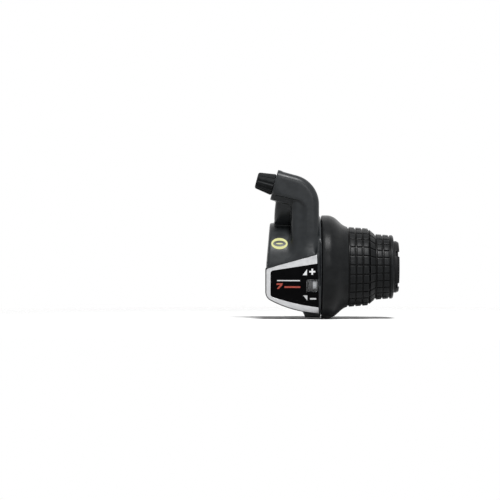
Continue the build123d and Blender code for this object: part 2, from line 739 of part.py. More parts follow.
def adjuster_barrel():
    """Tapered fluted knob with a socket for the cable casing."""
    z0 = BARREL_GAP
    z1 = BARREL_GAP + BARREL_LENGTH
    tip = BARREL_TIP / 2
    edge = BARREL_ROUND * (1 - cos(radians(45)))
    side = Polyline(
        (tip - BARREL_ROUND, 0, z1), (0, 0, z1), (0, 0, z0), (BARREL_ROOT / 2 - FLUTE_DEPTH, 0, z0),
        (BARREL_ROOT / 2, 0, z0 + FLUTE_DEPTH), (tip, 0, z1 - BARREL_ROUND),
    )
    nose = ThreePointArc((tip, 0, z1 - BARREL_ROUND), (tip - edge, 0, z1 - edge), (tip - BARREL_ROUND, 0, z1))
    body = revolve(make_face([side, nose]), Axis.Z)
    flute = Pos(0, 0, z0 - WALL) * extrude(Circle(FLUTE_RADIUS), amount=BARREL_LENGTH + 2 * WALL)
    lean = Pos(BARREL_ROOT / 2 + FLUTE_RADIUS - FLUTE_DEPTH, 0, z0) * Rot(0, -barrel_taper(), 0)
    for k in range(FLUTES):
        body -= Rot(0, 0, k * 360 / FLUTES) * lean * Pos(0, 0, -z0) * flute
    floor = z1 - SOCKET_DEPTH
    recess = END_PLAY + SEAT_THICKNESS
    body -= Pos(0, 0, z1 - SOCKET_DEPTH / 2) * Cylinder(CASING_DIAMETER / 2, SOCKET_DEPTH)
    body -= Pos(0, 0, floor - recess / 2) * Cylinder(SEAT_DIAMETER / 2 + FIT, recess)
    body -= Pos(0, 0, z0 + BARREL_LENGTH / 2) * Cylinder(STEM_BORE / 2 + FIT, BARREL_LENGTH)
    return body - stem_solid()


def barrel_taper():
    """Taper angle of the barrel from its two end diameters."""
    return degrees(atan2((BARREL_ROOT - BARREL_TIP) / 2, BARREL_LENGTH))


def stem_solid():
    top = BARREL_GAP + STEM_IN_BARREL
    body = Pos(0, 0, top - (STEM_LENGTH + top) / 2) * Cylinder(STEM_DIAMETER / 2, STEM_LENGTH + top)
    return body + Pos(0, 0, top - STEM_IN_BARREL / 2) * Cylinder(STEM_HEAD / 2, STEM_IN_BARREL)


def adjuster_stem():
    return stem_solid() - Cylinder(STEM_BORE / 2, 4 * STEM_LENGTH)


def casing_seat():
    """Washer let into the socket's floor, which the casing end bears on."""
    floor = BARREL_GAP + BARREL_LENGTH - SOCKET_DEPTH
    body = Pos(0, 0, floor - SEAT_THICKNESS / 2) * Cylinder(SEAT_DIAMETER / 2, SEAT_THICKNESS)
    return body - Cylinder(STEM_BORE / 2, 4 * BARREL_LENGTH)


def cable_spool():
    """Ratchet rim, cable groove and dog slots on one drum."""
    root = CABLE_RADIUS - CABLE_DIAMETER / 2
    groove_x = x_spool_end - SPOOL_FLANGE - GROOVE
    body = turned([
        (x_spool, turn_r), (x_spool, SPOOL_RADIUS), (x_spool + RATCHET_LENGTH, SPOOL_RADIUS),
        (x_spool + RATCHET_LENGTH, root), (groove_x - SPOOL_FLANGE, root),
        (groove_x - SPOOL_FLANGE, SPOOL_RADIUS), (groove_x, SPOOL_RADIUS), (groove_x, root),
        (groove_x + GROOVE, root), (groove_x + GROOVE, SPOOL_RADIUS), (x_spool_end, SPOOL_RADIUS),
        (x_spool_end, turn_r),
    ])
    for k in range(POSITIONS):
        y = -SPOOL_RADIUS - SPRING_THICKNESS
        notch = rod_x(NOTCH_RADIUS, y, 0, x_spool - WALL, x_spool + RATCHET_LENGTH)
        body -= spring_place(about_bar(-k * CLICK_ANGLE, notch))
    for k in range(DOGS):
        body -= about_bar(k * 360 / DOGS, dog(FIT))
    wrap = POSITIONS * CLICK_ANGLE
    pocket = block(
        x_cable - NIPPLE_DIAMETER / 2, FAR, -SPOOL_RADIUS - WALL, -root + NIPPLE_DIAMETER / 4,
        -NIPPLE_DIAMETER, 0,
    )
    return body - about_bar(-wrap, pocket)


def dog(grow):
    """One driving dog between the grip core and the spool."""
    half = radians(DOG_ANGLE / 2)
    outer = turn_r + DOG_HEIGHT + grow
    tongue = ring(outer, turn_r - grow, x_spool_end - DOG_LENGTH - grow, x_spool_end + END_PLAY)
    y = -2 * outer * cos(half)
    z = 2 * outer * sin(half) + grow
    wedge = across_bar(
        [(0, 0), (y, -z), (y, z)],
        x_spool_end - DOG_LENGTH - grow, x_spool_end + END_PLAY,
    )
    return tongue & wedge


def number_ring():
    """Cup that carries the gear numbers past the window."""
    inner = number_r - NUMBER_WALL
    return turned([
        (x_number, inner), (x_number_end - NUMBER_WALL, inner), (x_number_end - NUMBER_WALL, HUB_RADIUS),
        (x_number_end, HUB_RADIUS), (x_number_end, number_r), (x_number, number_r),
    ])


def block_stations():
    """Edges of the rubber block columns along the bar."""
    start = x_grip + FLARE_END
    return [start + k * BLOCK_PITCH for k in range(BLOCK_COLUMNS + 1)]


def block_radii(drop):
    """Radius of the blocks at each column edge, lowered by drop."""
    steps = block_stations()
    radii = []
    for k in range(len(steps)):
        if k <= LARGE_COLUMNS:
            r = LARGE_RADIUS + (LARGE_END_RADIUS - LARGE_RADIUS) * k / LARGE_COLUMNS
        else:
            share = (k - LARGE_COLUMNS - 1) / (BLOCK_COLUMNS - LARGE_COLUMNS - 1)
            r = SMALL_START_RADIUS + (SMALL_RADIUS - SMALL_START_RADIUS) * share
        radii.append(r - drop)
    return list(zip(steps, radii))


def core_outer():
    """Outline of the core under the rubber, from the flange to the tip."""
    blocks = block_radii(RUBBER_WALL)
    rim = flange_r - CORE_RIM
    return [
        (x_grip, rim), (x_grip + CORE_FLANGE, rim),
        (x_grip + FLARE_END - RUBBER_WALL, blocks[0][1]), *blocks[1:], (x_tip, blocks[-1][1]),
    ]


def grip_core():
    """Tube on the sleeve with lands at both ends, bell flange and driving dogs."""
    x0 = x_spool_end + END_PLAY
    outline = core_outer()
    relief = turn_r + CORE_RELIEF
    points = [
        (x0, turn_r), (x0, HUB_RADIUS), *outline, (x_tip, turn_r), (x_tip - 2 * CORE_LAND, turn_r),
        (x_tip - 2 * CORE_LAND, turn_r + FIT), (x_grip + FLARE_END + CORE_LAND, relief),
        (x_grip + CORE_LAND, relief), (x_grip + CORE_LAND, turn_r),
    ]
    points.insert(2, (x_grip, HUB_RADIUS))
    body = turned(points)
    for k in range(DOGS):
        body += about_bar(k * 360 / DOGS, dog(0))
    return body


def grip_rubber():
    """Bell flange, six columns of blocks cut by grooves, plain end bead."""
    flange = Line((x_grip + RING_CHAMFER, 0, flange_r), (x_grip + FLANGE_LENGTH, 0, flange_r))
    stations = block_radii(0)
    fall = flange_r - LARGE_RADIUS
    flare = Spline(
        (x_grip + FLANGE_LENGTH, 0, flange_r),
        *[(x_grip + FLARE_END * run, 0, flange_r - fall * share) for run, share in FLARE_BOW],
        (stations[0][0], 0, stations[0][1]),
        tangents=[(1, 0, slope) for slope in FLARE_SLOPES],
    )
    bead = SMALL_RADIUS
    tip = [(x, 0, r) for x, r in stations]
    tip += [(x_tip - BEAD_CHAMFER, 0, bead), (x_tip, 0, bead - BEAD_CHAMFER)]
    inside = [(x, 0, r) for x, r in reversed(core_outer())]
    last = [(x_grip, 0, flange_r - RING_CHAMFER), (x_grip + RING_CHAMFER, 0, flange_r)]
    rest = Polyline(*tip, *inside, *last)
    body = revolve(make_face([flange, flare, rest]), Axis.X)
    return body - rubber_grooves()


def rubber_grooves():
    """Lattice of ring grooves and lengthwise grooves cut into the blocks."""
    steps = block_stations()
    depth = block_radii(GRIP_GROOVE_DEPTH)
    high = [(steps[-1] + GRIP_GROOVE, flange_r), (steps[0], flange_r)]
    shell = turned([*depth, (steps[-1] + GRIP_GROOVE, depth[-1][1]), *high])
    lattice = ring(flange_r, bore_r, steps[0], steps[0] + GRIP_GROOVE)
    for x in steps[1:]:
        lattice += ring(flange_r, bore_r, x, x + GRIP_GROOVE)
    for k in range(BLOCK_ROWS // 2):
        strip = block(steps[0], steps[-1] + GRIP_GROOVE / 2, -FAR, FAR, -GRIP_GROOVE / 2, GRIP_GROOVE / 2)
        lattice += about_bar(BLOCK_TURN + k * 360 / BLOCK_ROWS, strip)
    return shell & lattice


def retaining_ring():
    """Notched ring pressed on the sleeve's end to keep the grip on."""
    body = turned([
        (x_ring, spigot_r), (x_ring, RING_RADIUS), (x_ring_end - 2 * RING_CHAMFER, RING_RADIUS),
        (x_ring_end, RING_RADIUS - RING_CHAMFER), (x_ring_end, spigot_r),
    ])
    half = 2 * RING_RADIUS * sin(radians(RING_NOTCH_ANGLE / 2))
    for angle in RING_NOTCHES:
        x0 = x_ring_end - RING_NOTCH_DEPTH
        gap = block(x0, x_ring_end + WALL, -2 * RING_RADIUS, 0, -half / 2, half / 2)
        body -= about_bar(angle, gap)
    return body


def neck_cover():
    body = cover_plate(0)
    for p in cover_screw_places():
        body -= rod_y(SCREW_DIAMETER / 2 + FIT, p.X, p.Z, -FAR, 0)
    return body


def write(name, shape):
    export_step(Compound(children=list(shape)) if isinstance(shape, list) else shape, f"parts/{name}.step")


os.makedirs("parts", exist_ok=True)
write("bracket", bracket())
write("housing", housing())
write("neck_cover", neck_cover())
write("neck_cover_screws", cover_screws())
write("housing_screws", housing_screws())
write("indicator_bezel", bezel())
write("indicator_panel", panel())
write("indicator_window", window_lens())
write("clamp_bolt", clamp_bolt())
write("clamp_nut", clamp_nut())
write("click_spring", click_spring())
write("adjuster_nut", adjuster_nut())
write("retaining_ring", retaining_ring())
write("cable_spool", cable_spool())
write("number_ring", number_ring())
write("grip_core", grip_core())
write("grip_rubber", grip_rubber())
write("casing_seat", adjuster_plane.location * casing_seat())
write("adjuster_barrel", adjuster_plane.location * adjuster_barrel())
write("adjuster_stem", adjuster_plane.location * adjuster_stem())
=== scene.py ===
# %% [markdown]
# # Dressing a twist shifter
# The CAD model of a right-hand twist shifter comes in as a fixed frame, in metres: X runs along
# the handlebar, -Y faces the rider and +Z is the way the cable neck rises. This lesson gives it
# soft moulded edges, a blocked rubber grip, printed marks and procedural finishes. Everything new
# is laid directly on the frame, so nothing has to be fitted afterwards. Sizes are written in
# millimetres and turned into metres where Blender needs them.

# %% Load the frame
import math
from contextlib import contextmanager

import bpy
import numpy
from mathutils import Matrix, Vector


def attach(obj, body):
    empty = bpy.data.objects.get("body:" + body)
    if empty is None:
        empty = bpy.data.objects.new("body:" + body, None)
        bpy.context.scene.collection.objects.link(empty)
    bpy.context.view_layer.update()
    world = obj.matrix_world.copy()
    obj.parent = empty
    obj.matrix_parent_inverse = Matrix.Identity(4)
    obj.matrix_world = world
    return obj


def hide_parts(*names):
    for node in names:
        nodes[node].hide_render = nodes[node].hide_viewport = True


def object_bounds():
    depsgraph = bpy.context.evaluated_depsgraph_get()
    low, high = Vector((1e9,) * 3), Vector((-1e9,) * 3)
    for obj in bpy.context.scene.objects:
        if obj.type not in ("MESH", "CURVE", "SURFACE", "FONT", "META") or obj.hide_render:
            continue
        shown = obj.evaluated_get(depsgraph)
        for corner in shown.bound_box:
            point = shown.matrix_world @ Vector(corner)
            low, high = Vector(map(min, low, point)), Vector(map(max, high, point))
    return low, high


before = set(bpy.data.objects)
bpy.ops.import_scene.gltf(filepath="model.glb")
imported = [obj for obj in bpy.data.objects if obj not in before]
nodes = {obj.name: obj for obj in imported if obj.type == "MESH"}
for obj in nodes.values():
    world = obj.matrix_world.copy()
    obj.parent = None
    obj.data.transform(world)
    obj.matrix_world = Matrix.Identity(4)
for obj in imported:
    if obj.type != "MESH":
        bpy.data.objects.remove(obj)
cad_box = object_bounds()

MM = 0.001
print("CAD nodes:", len(nodes), "box:", [round(v / MM, 1) for v in (*cad_box[0], *cad_box[1])])

# %% [markdown]
# ## Small helpers
# Operators act on whatever is selected, so each step starts by clearing the selection and picking
# one object. A copied CAD mesh is loose triangles, which are merged before anything else is done.


# %% Selecting, editing and applying
def pick(piece):
    """Leave only this object selected and active."""
    bpy.ops.object.select_all(action="DESELECT")
    piece.select_set(True)
    bpy.context.view_layer.objects.active = piece


@contextmanager
def editing(piece):
    """Edit mode with the whole mesh selected, and object mode again afterwards."""
    pick(piece)
    bpy.ops.object.mode_set(mode="EDIT")
    bpy.ops.mesh.select_all(action="SELECT")
    yield
    bpy.ops.object.mode_set(mode="OBJECT")


def apply_modifier(piece, kind, **settings):
    """Add a modifier, set it and apply it."""
    pick(piece)
    modifier = piece.modifiers.new(kind.lower(), kind)
    for key, value in settings.items():
        setattr(modifier, key, value)
    bpy.ops.object.modifier_apply(modifier=modifier.name)


def settle(piece):
    """Put the object's place and turn into its mesh."""
    pick(piece)
    bpy.ops.object.transform_apply(location=True, rotation=True, scale=True)


# %% Starting a piece
def circle(name, count, radius, **settings):
    """Start a piece from a circle, its radius in mm, with nothing else selected."""
    bpy.ops.object.select_all(action="DESELECT")
    bpy.ops.mesh.primitive_circle_add(vertices=count, radius=radius * MM, **settings)
    piece = bpy.context.object
    piece.name = name
    return piece


def polygon(name, points):
    """Start a piece from one flat face through points in metres."""
    piece = circle(name, len(points), 1.0, fill_type="NGON")
    for vertex, point in zip(piece.data.vertices, points):
        vertex.co = point
    return piece


def merged_copy(node, name):
    """Copy of a CAD node's mesh with its loose triangles joined."""
    piece = bpy.data.objects.new(name, nodes[node].data.copy())
    bpy.context.scene.collection.objects.link(piece)
    with editing(piece):
        bpy.ops.mesh.remove_doubles(threshold=0.002 * MM)
    return piece


def triangles(piece):
    """Count of triangles in a piece's mesh."""
    piece.data.calc_loop_triangles()
    return len(piece.data.loop_triangles)


# %% [markdown]
# ## Shared effects
# Grain, worn edges, settled dust and fine scuffs turn up on several finishes. They could be built
# again in every material, but one node group each is easier to change. A group gives out a mask
# or a height, and the shader itself stays in the material.


# %% Building a node group
def new_group(name, scale, outputs):
    """Empty shader node group with a Scale input and named float outputs."""
    group = bpy.data.node_groups.new(name, "ShaderNodeTree")
    socket = group.interface.new_socket("Scale", in_out="INPUT", socket_type="NodeSocketFloat")
    socket.default_value = scale
    for title in outputs:
        group.interface.new_socket(title, in_out="OUTPUT", socket_type="NodeSocketFloat")
    entry = group.nodes.new("NodeGroupInput")
    leave = group.nodes.new("NodeGroupOutput")
    return group, entry.outputs["Scale"], leave


def noise(tree, vector, scale, detail, rough=0.55):
    """Noise texture read at a vector; scale is a number or a socket."""
    node = tree.nodes.new("ShaderNodeTexNoise")
    node.inputs["Detail"].default_value = detail
    node.inputs["Roughness"].default_value = rough
    tree.links.new(vector, node.inputs["Vector"])
    if isinstance(scale, (int, float)):
        node.inputs["Scale"].default_value = scale
    else:
        tree.links.new(scale, node.inputs["Scale"])
    return node.outputs["Fac"]


def remap(tree, value, low, high, to_low=0.0, to_high=1.0):
    """Map Range with a soft start and end."""
    node = tree.nodes.new("ShaderNodeMapRange")
    node.interpolation_type = "SMOOTHSTEP"
    tree.links.new(value, node.inputs["Value"])
    limits = {"From Min": low, "From Max": high, "To Min": to_low, "To Max": to_high}
    for title, number in limits.items():
        node.inputs[title].default_value = number
    return node.outputs["Result"]


def combine(tree, kind, first, second):
    """Math node on two sockets or a socket and a number."""
    node = tree.nodes.new("ShaderNodeMath")
    node.operation = kind
    for socket, value in zip(node.inputs, (first, second)):
        if isinstance(value, (int, float)):
            socket.default_value = value
        else:
            tree.links.new(value, socket)
    return node.outputs[0]


def attribute(tree, name):
    """A number that is stored on the mesh, point by point."""
    node = tree.nodes.new("ShaderNodeAttribute")
    node.attribute_name = name
    return node.outputs["Fac"]


# %% Grain of a moulded or cast surface
MOTTLE_SCALE = 260.0
grain, scale, leave = new_group("moulded_grain", 3000.0, ["Height", "Mottle"])
place = grain.nodes.new("ShaderNodeTexCoord").outputs["Object"]
fine = noise(grain, place, scale, detail=3.0)
coarse = noise(grain, place, MOTTLE_SCALE, detail=4.0)
grain.links.new(fine, leave.inputs["Height"])
grain.links.new(remap(grain, coarse, 0.3, 0.7), leave.inputs["Mottle"])
print("group", grain.name)

# %% Edges rubbed lighter by hands and tools
WEAR_SCALE = 900.0
PROUD_FROM, PROUD_TO = 0.14, 0.45  # 1/mm, between a gentle curve and a rounded edge
wear, scale, leave = new_group("rubbed_edges", WEAR_SCALE, ["Mask"])
place = wear.nodes.new("ShaderNodeTexCoord").outputs["Object"]
edge = remap(wear, attribute(wear, "proud"), PROUD_FROM, PROUD_TO)
patch = remap(wear, noise(wear, place, scale, detail=5.0, rough=0.65), 0.35, 0.65)
wear.links.new(combine(wear, "MULTIPLY", edge, patch), leave.inputs["Mask"])
print("group", wear.name)

# %% Dust that settles on what faces up
DUST_SCALE = 700.0
dust, scale, leave = new_group("settled_dust", DUST_SCALE, ["Mask"])
coords = dust.nodes.new("ShaderNodeTexCoord")
split = dust.nodes.new("ShaderNodeSeparateXYZ")
dust.links.new(coords.outputs["Normal"], split.inputs[0])
upward = remap(dust, split.outputs["Z"], 0.1, 1.0)
flecks = noise(dust, coords.outputs["Object"], scale, detail=6.0, rough=0.7)
speck = remap(dust, flecks, 0.42, 0.7)
dust.links.new(combine(dust, "MULTIPLY", upward, speck), leave.inputs["Mask"])
print("group", dust.name)

# %% Fine scuffs along the bar
SCUFF_SCALE = 1200.0
scuff, scale, leave = new_group("fine_scuffs", SCUFF_SCALE, ["Mask"])
place = scuff.nodes.new("ShaderNodeTexCoord").outputs["Object"]
stretch = scuff.nodes.new("ShaderNodeMapping")
stretch.inputs["Scale"].default_value = (0.12, 1.0, 1.0)
stretch.inputs["Rotation"].default_value = (0.3, 0.25, 0.4)
scuff.links.new(place, stretch.inputs["Vector"])
streak = noise(scuff, stretch.outputs["Vector"], scale, detail=2.0)
scuff.links.new(remap(scuff, streak, 0.6, 0.72), leave.inputs["Mask"])
print("group", scuff.name)

# %% [markdown]
# ## Finishes
# Every finish is a Principled BSDF whose colour, roughness and normal come from the groups. Two
# near shades are mixed by the mottle, worn edges and dust are laid over them, and the grain is a
# bump of a few hundredths of a millimetre. Numbers that are the same all over sit on the shader.
# Two masks come from the meshes: "proud" marks the edges that hands rub, and a second marks the
# grooves of the rubber, where shade is painted into the colour, as little light gets in there.

# %% One builder for all opaque finishes
DUST_COVER = 0.5
BUMP_STRENGTH = 0.6


def add_group(tree, group, scale):
    """Place a shared effect in a material, at a scale of its own."""
    node = tree.nodes.new("ShaderNodeGroup")
    node.node_tree = group
    node.inputs["Scale"].default_value = scale
    return node


def overlay(tree, mask, below, shade):
    """Lay a plain shade over a colour through a mask."""
    node = tree.nodes.new("ShaderNodeMix")
    node.data_type = "RGBA"
    tree.links.new(mask, node.inputs["Factor"])
    tree.links.new(below, node.inputs["A"])
    node.inputs["B"].default_value = (*shade, 1)
    return node.outputs["Result"]


def finish(
    name, shades, rough, grain_scale, depth,
    worn=None, dusty=None, groove_shade=None, scuffed=0.0, **fixed,
):
    """Opaque finish: two shades, a roughness range, grain depth in mm and optional overlays."""
    material = bpy.data.materials.new(name)
    material.use_nodes = True
    tree = material.node_tree
    shader = tree.nodes["Principled BSDF"]
    texture = add_group(tree, grain, grain_scale)
    ramp = tree.nodes.new("ShaderNodeValToRGB")
    for stop, shade in zip(ramp.color_ramp.elements, shades):
        stop.color = (*shade, 1)
    tree.links.new(texture.outputs["Mottle"], ramp.inputs["Fac"])
    colour = ramp.outputs["Color"]
    if worn:
        mask = add_group(tree, wear, WEAR_SCALE).outputs["Mask"]
        colour = overlay(tree, mask, colour, worn)
    if dusty:
        mask = add_group(tree, dust, DUST_SCALE).outputs["Mask"]
        colour = overlay(tree, combine(tree, "MULTIPLY", mask, DUST_COVER), colour, dusty)
    # painted shade: the groove floors get a near-black colour through the mask stored on the mesh
    if groove_shade:
        colour = overlay(tree, attribute(tree, "groove_shade_mask"), colour, groove_shade)
    tree.links.new(colour, shader.inputs["Base Color"])
    polish = remap(tree, texture.outputs["Mottle"], 0.0, 1.0, *rough)
    if scuffed:
        marks = add_group(tree, scuff, SCUFF_SCALE).outputs["Mask"]
        polish = combine(tree, "ADD", polish, combine(tree, "MULTIPLY", marks, scuffed))
    tree.links.new(polish, shader.inputs["Roughness"])
    bump = tree.nodes.new("ShaderNodeBump")
    bump.inputs["Strength"].default_value = BUMP_STRENGTH
    bump.inputs["Distance"].default_value = depth * MM
    tree.links.new(texture.outputs["Height"], bump.inputs["Height"])
    tree.links.new(bump.outputs["Normal"], shader.inputs["Normal"])
    for title, value in fixed.items():
        shader.inputs[title.replace("_", " ")].default_value = value
    return material


# %% [markdown]
# The housing is a charcoal moulding with a fine grain. The sleeve on the bar and the grip's core
# are plainer and blacker, the barrel is darker still and duller, and the spool and the number ring
# inside are grey. Low specular levels keep the blacks deep in a white room.

# %% Plastics
housing_plastic = finish(
    "housing_plastic", ((0.013, 0.0145, 0.0158), (0.0175, 0.0195, 0.021)), (0.3, 0.38), 2600.0,
    0.05, worn=(0.036, 0.039, 0.042), dusty=(0.02, 0.021, 0.0215), Specular_IOR_Level=0.17,
)
nylon_black = finish(
    "nylon_black", ((0.008, 0.008, 0.0085), (0.012, 0.012, 0.0125)), (0.42, 0.52), 2200.0, 0.06,
    dusty=(0.018, 0.018, 0.0175), Specular_IOR_Level=0.06,
)
barrel_plastic = finish(
    "barrel_plastic", ((0.006, 0.0066, 0.007), (0.01, 0.011, 0.0116)), (0.34, 0.44), 3200.0, 0.04,
    worn=(0.02, 0.021, 0.023), dusty=(0.014, 0.0145, 0.0145), Specular_IOR_Level=0.045,
)
acetal_grey = finish(
    "acetal_grey", ((0.16, 0.16, 0.16), (0.22, 0.22, 0.22)), (0.35, 0.45), 1800.0, 0.03,
)
number_grey = finish(
    "number_grey", ((0.045, 0.046, 0.048), (0.06, 0.061, 0.064)), (0.4, 0.5), 2400.0, 0.03,
)
print("plastics:", housing_plastic.name, nylon_black.name, barrel_plastic.name)

# %% [markdown]
# The bezel wears a silver paint with small flakes, the panel is a black gloss sheet, and the grip
# is a soft rubber with a slight sheen. The rubber is the one finish with painted shade in its
# grooves.

# %% Silver paint, gloss panel and rubber
bezel_silver = finish(
    "bezel_silver", ((0.45, 0.455, 0.465), (0.53, 0.535, 0.545)), (0.3, 0.4), 5200.0, 0.02,
    worn=(0.58, 0.585, 0.595), scuffed=0.12, Metallic=0.85,
)
panel_gloss = finish(
    "panel_gloss", ((0.0012, 0.0012, 0.0015), (0.002, 0.002, 0.0024)), (0.08, 0.14), 900.0, 0.004,
    scuffed=0.1, Specular_IOR_Level=0.02,
)
rubber_black = finish(
    "rubber_black", ((0.0065, 0.007, 0.0075), (0.0098, 0.0105, 0.011)), (0.3, 0.38), 2400.0, 0.08,
    worn=(0.014, 0.0145, 0.0152), dusty=(0.014, 0.0145, 0.0145),
    # the groove colour is painted shade for the floors of the grooves
    groove_shade=(0.0006, 0.0006, 0.0007), Specular_IOR_Level=0.075,
)
print("coated:", bezel_silver.name, panel_gloss.name, rubber_black.name)

# %% [markdown]
# Screws, bolt and spring are bare or plated steel with scuffs. The inks are thin opaque coats, the
# yellow one matt, so that no glint washes its colour out.

# %% Metals and inks
steel_screw = finish(
    "steel_screw", ((0.3, 0.3, 0.31), (0.42, 0.42, 0.43)), (0.28, 0.42), 3000.0, 0.02,
    scuffed=0.15, Metallic=1.0,
)
steel_bolt = finish(
    "steel_bolt", ((0.42, 0.42, 0.43), (0.55, 0.55, 0.56)), (0.24, 0.38), 2600.0, 0.02,
    scuffed=0.15, Metallic=1.0,
)
spring_steel = finish(
    "spring_steel", ((0.5, 0.49, 0.47), (0.6, 0.59, 0.57)), (0.18, 0.3), 1600.0, 0.01,
    scuffed=0.2, Metallic=1.0,
)
ink_white = finish(
    "ink_white", ((0.68, 0.69, 0.7), (0.76, 0.77, 0.78)), (0.4, 0.55), 5000.0, 0.01,
)
ink_bright = finish(
    "ink_bright", ((0.82, 0.83, 0.84), (0.88, 0.89, 0.9)), (0.4, 0.55), 5000.0, 0.01,
)
ink_red = finish(
    "ink_red", ((0.38, 0.046, 0.024), (0.45, 0.058, 0.031)), (0.35, 0.5), 5000.0, 0.01,
)
ink_yellow = finish(
    "ink_yellow", ((0.41, 0.41, 0.18), (0.47, 0.47, 0.22)), (0.5, 0.65), 4000.0, 0.01,
    Specular_IOR_Level=0.12,
)
print("metals and inks ready")

# %% [markdown]
# The window is clear plastic over the number ring. A glass shader alone would keep the lamps off
# the numbers behind it, so shadow rays and diffuse rays pass straight through a transparent one.

# %% Clear window, open to the lamps
WINDOW_SCALE = 1500.0
HAZE, SCUFF_BLUR = 0.02, 0.04
window_clear = bpy.data.materials.new("window_clear")
window_clear.use_nodes = True
tree = window_clear.node_tree
shader = tree.nodes["Principled BSDF"]
shader.inputs["Base Color"].default_value = (0.97, 0.975, 0.98, 1)
shader.inputs["Transmission Weight"].default_value = 1.0
shader.inputs["IOR"].default_value = 1.3
haze = add_group(tree, grain, WINDOW_SCALE)
marks = add_group(tree, scuff, WINDOW_SCALE)
blur = remap(tree, haze.outputs["Mottle"], 0.0, 1.0, 0.0, HAZE)
streaks = combine(tree, "MULTIPLY", marks.outputs["Mask"], SCUFF_BLUR)
tree.links.new(combine(tree, "ADD", blur, streaks), shader.inputs["Roughness"])
path = tree.nodes.new("ShaderNodeLightPath").outputs
passing = combine(tree, "MAXIMUM", path["Is Shadow Ray"], path["Is Diffuse Ray"])
through = tree.nodes.new("ShaderNodeBsdfTransparent")
through.inputs["Color"].default_value = (0.96, 0.965, 0.97, 1)
either = tree.nodes.new("ShaderNodeMixShader")
tree.links.new(passing, either.inputs["Fac"])
tree.links.new(shader.outputs["BSDF"], either.inputs[1])
tree.links.new(through.outputs["BSDF"], either.inputs[2])
tree.links.new(either.outputs["Shader"], tree.nodes["Material Output"].inputs["Surface"])
print("window:", window_clear.name)

# %% [markdown]
# ## The housing's moulding
# The drum, the cable neck, the rear web and the indicator's seat are one plastic moulding, and on
# the real part all of it flows together with soft inside corners. Rounding each edge of the CAD
# solid by hand would be slow. A voxel remesh turns a copy into an even skin, smoothing it rounds
# every edge by the same small amount, and decimating brings it back to a light mesh.


# %% Soft skin from a CAD copy
def moulded(node, name, voxel, passes, keep=None, cutter=None):
    """Remesh and smooth a CAD copy, less the cutter, and keep a share of its triangles."""
    piece = merged_copy(node, name)
    if cutter:
        apply_modifier(piece, "BOOLEAN", object=cutter, operation="DIFFERENCE", solver="EXACT")
        bpy.data.objects.remove(cutter)
    apply_modifier(piece, "REMESH", mode="VOXEL", voxel_size=voxel * MM)
    apply_modifier(piece, "SMOOTH", factor=0.5, iterations=passes)
    if keep:
        apply_modifier(piece, "DECIMATE", ratio=keep)
    pick(piece)
    bpy.ops.object.shade_smooth()
    print(name, "skin triangles:", triangles(piece))
    return piece


# %% [markdown]
# The rubbed edges need to know where a surface stands proud. The shader's own pointiness changes
# with the size of the triangles, so the curvature is measured here along the mesh's edges, in
# 1/mm, and stored on the points. Every piece gets it when it is placed on its body.

# %% Marking the proud edges and placing a piece
LEAST_SQUARE = 1e-4  # mm2, so that a very short edge doesn't count for too much


def mark_edges(piece):
    """Store how sharply each vertex stands proud of its neighbours, in 1/mm."""
    mesh = piece.data
    points = numpy.empty((len(mesh.vertices), 3), numpy.float32)
    normals = numpy.empty_like(points)
    ends = numpy.empty((len(mesh.edges), 2), numpy.int32)
    mesh.vertices.foreach_get("co", points.ravel())
    mesh.vertices.foreach_get("normal", normals.ravel())
    mesh.edges.foreach_get("vertices", ends.ravel())
    total, count = numpy.zeros(len(points)), numpy.zeros(len(points))
    for here, there in ((ends[:, 0], ends[:, 1]), (ends[:, 1], ends[:, 0])):
        step = (points[there] - points[here]) / MM
        square = numpy.maximum((step * step).sum(1), LEAST_SQUARE)
        numpy.add.at(total, here, -(step * normals[here]).sum(1) / square)
        numpy.add.at(count, here, 1)
    proud = mesh.attributes.new("proud", "FLOAT", "POINT")
    proud.data.foreach_set("value", (total / numpy.maximum(count, 1)).astype(numpy.float32))


def place_on(piece, body, material, node=None):
    """Give a finished piece its material, body, slot and the node it stands for."""
    mark_edges(piece)
    piece.data.materials.clear()
    piece.data.materials.append(material)
    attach(piece, body)
    if node:
        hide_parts(node)


# %% [markdown]
# Between the neck's foot and the rim the real moulding has a narrow wedge-shaped slot, which shows
# as a dark line. It could be a painted line, but then it would be lost from the side. A flat
# outline is extruded forward into a cutter, and a boolean takes it out of the copy.

# %% Cutter for the slot between the neck's foot and the rim
SLOT = [
    (-0.9, -20.6, 24.0), (-3.3, -22.6, 6.4), (-2.5, -22.8, 6.0), (-1.45, -23.2, -10.0),
    (-0.75, -23.2, -10.0), (-0.75, -22.8, 6.0), (-0.75, -20.8, 22.0),
]
SLOT_REACH = 10.0
slot_cutter = polygon("slot_cutter", [Vector(corner) * MM for corner in SLOT])
with editing(slot_cutter):
    bpy.ops.mesh.extrude_region_move(TRANSFORM_OT_translate={"value": (0, -SLOT_REACH * MM, 0)})
    bpy.ops.mesh.select_all(action="SELECT")
    bpy.ops.mesh.quads_convert_to_tris()
    bpy.ops.mesh.normals_make_consistent(inside=False)
print("slot cutter faces:", len(slot_cutter.data.polygons))

# %% [markdown]
# Two places are softer than the rest: the nook where the recessed strip, the neck and the drum
# meet above the bezel, and the lower corner of the arm. A vertex group marks them, with a weight
# that fades out towards their limits, and a second smoothing works on that group alone.

# %% Where the housing is softened
NOOK_LEFT, NOOK_RIGHT, NOOK_TOP, NOOK_BACK = -18.5, -0.8, 31.0, -16.8
BEZEL_X, BEZEL_Z, BEZEL_SLOPE = -2.5, 7.0, 0.277  # the bezel's upper edge
NECK_SIDE, FOOT_TOP = -7.5, 17.0  # in front of the neck only its foot is softened
CORNER_RIGHT, CORNER_TOP, CORNER_LOW, CORNER_BACK = -20.0, 40.5, 30.0, -19.3
FACING_BACK = 0.2


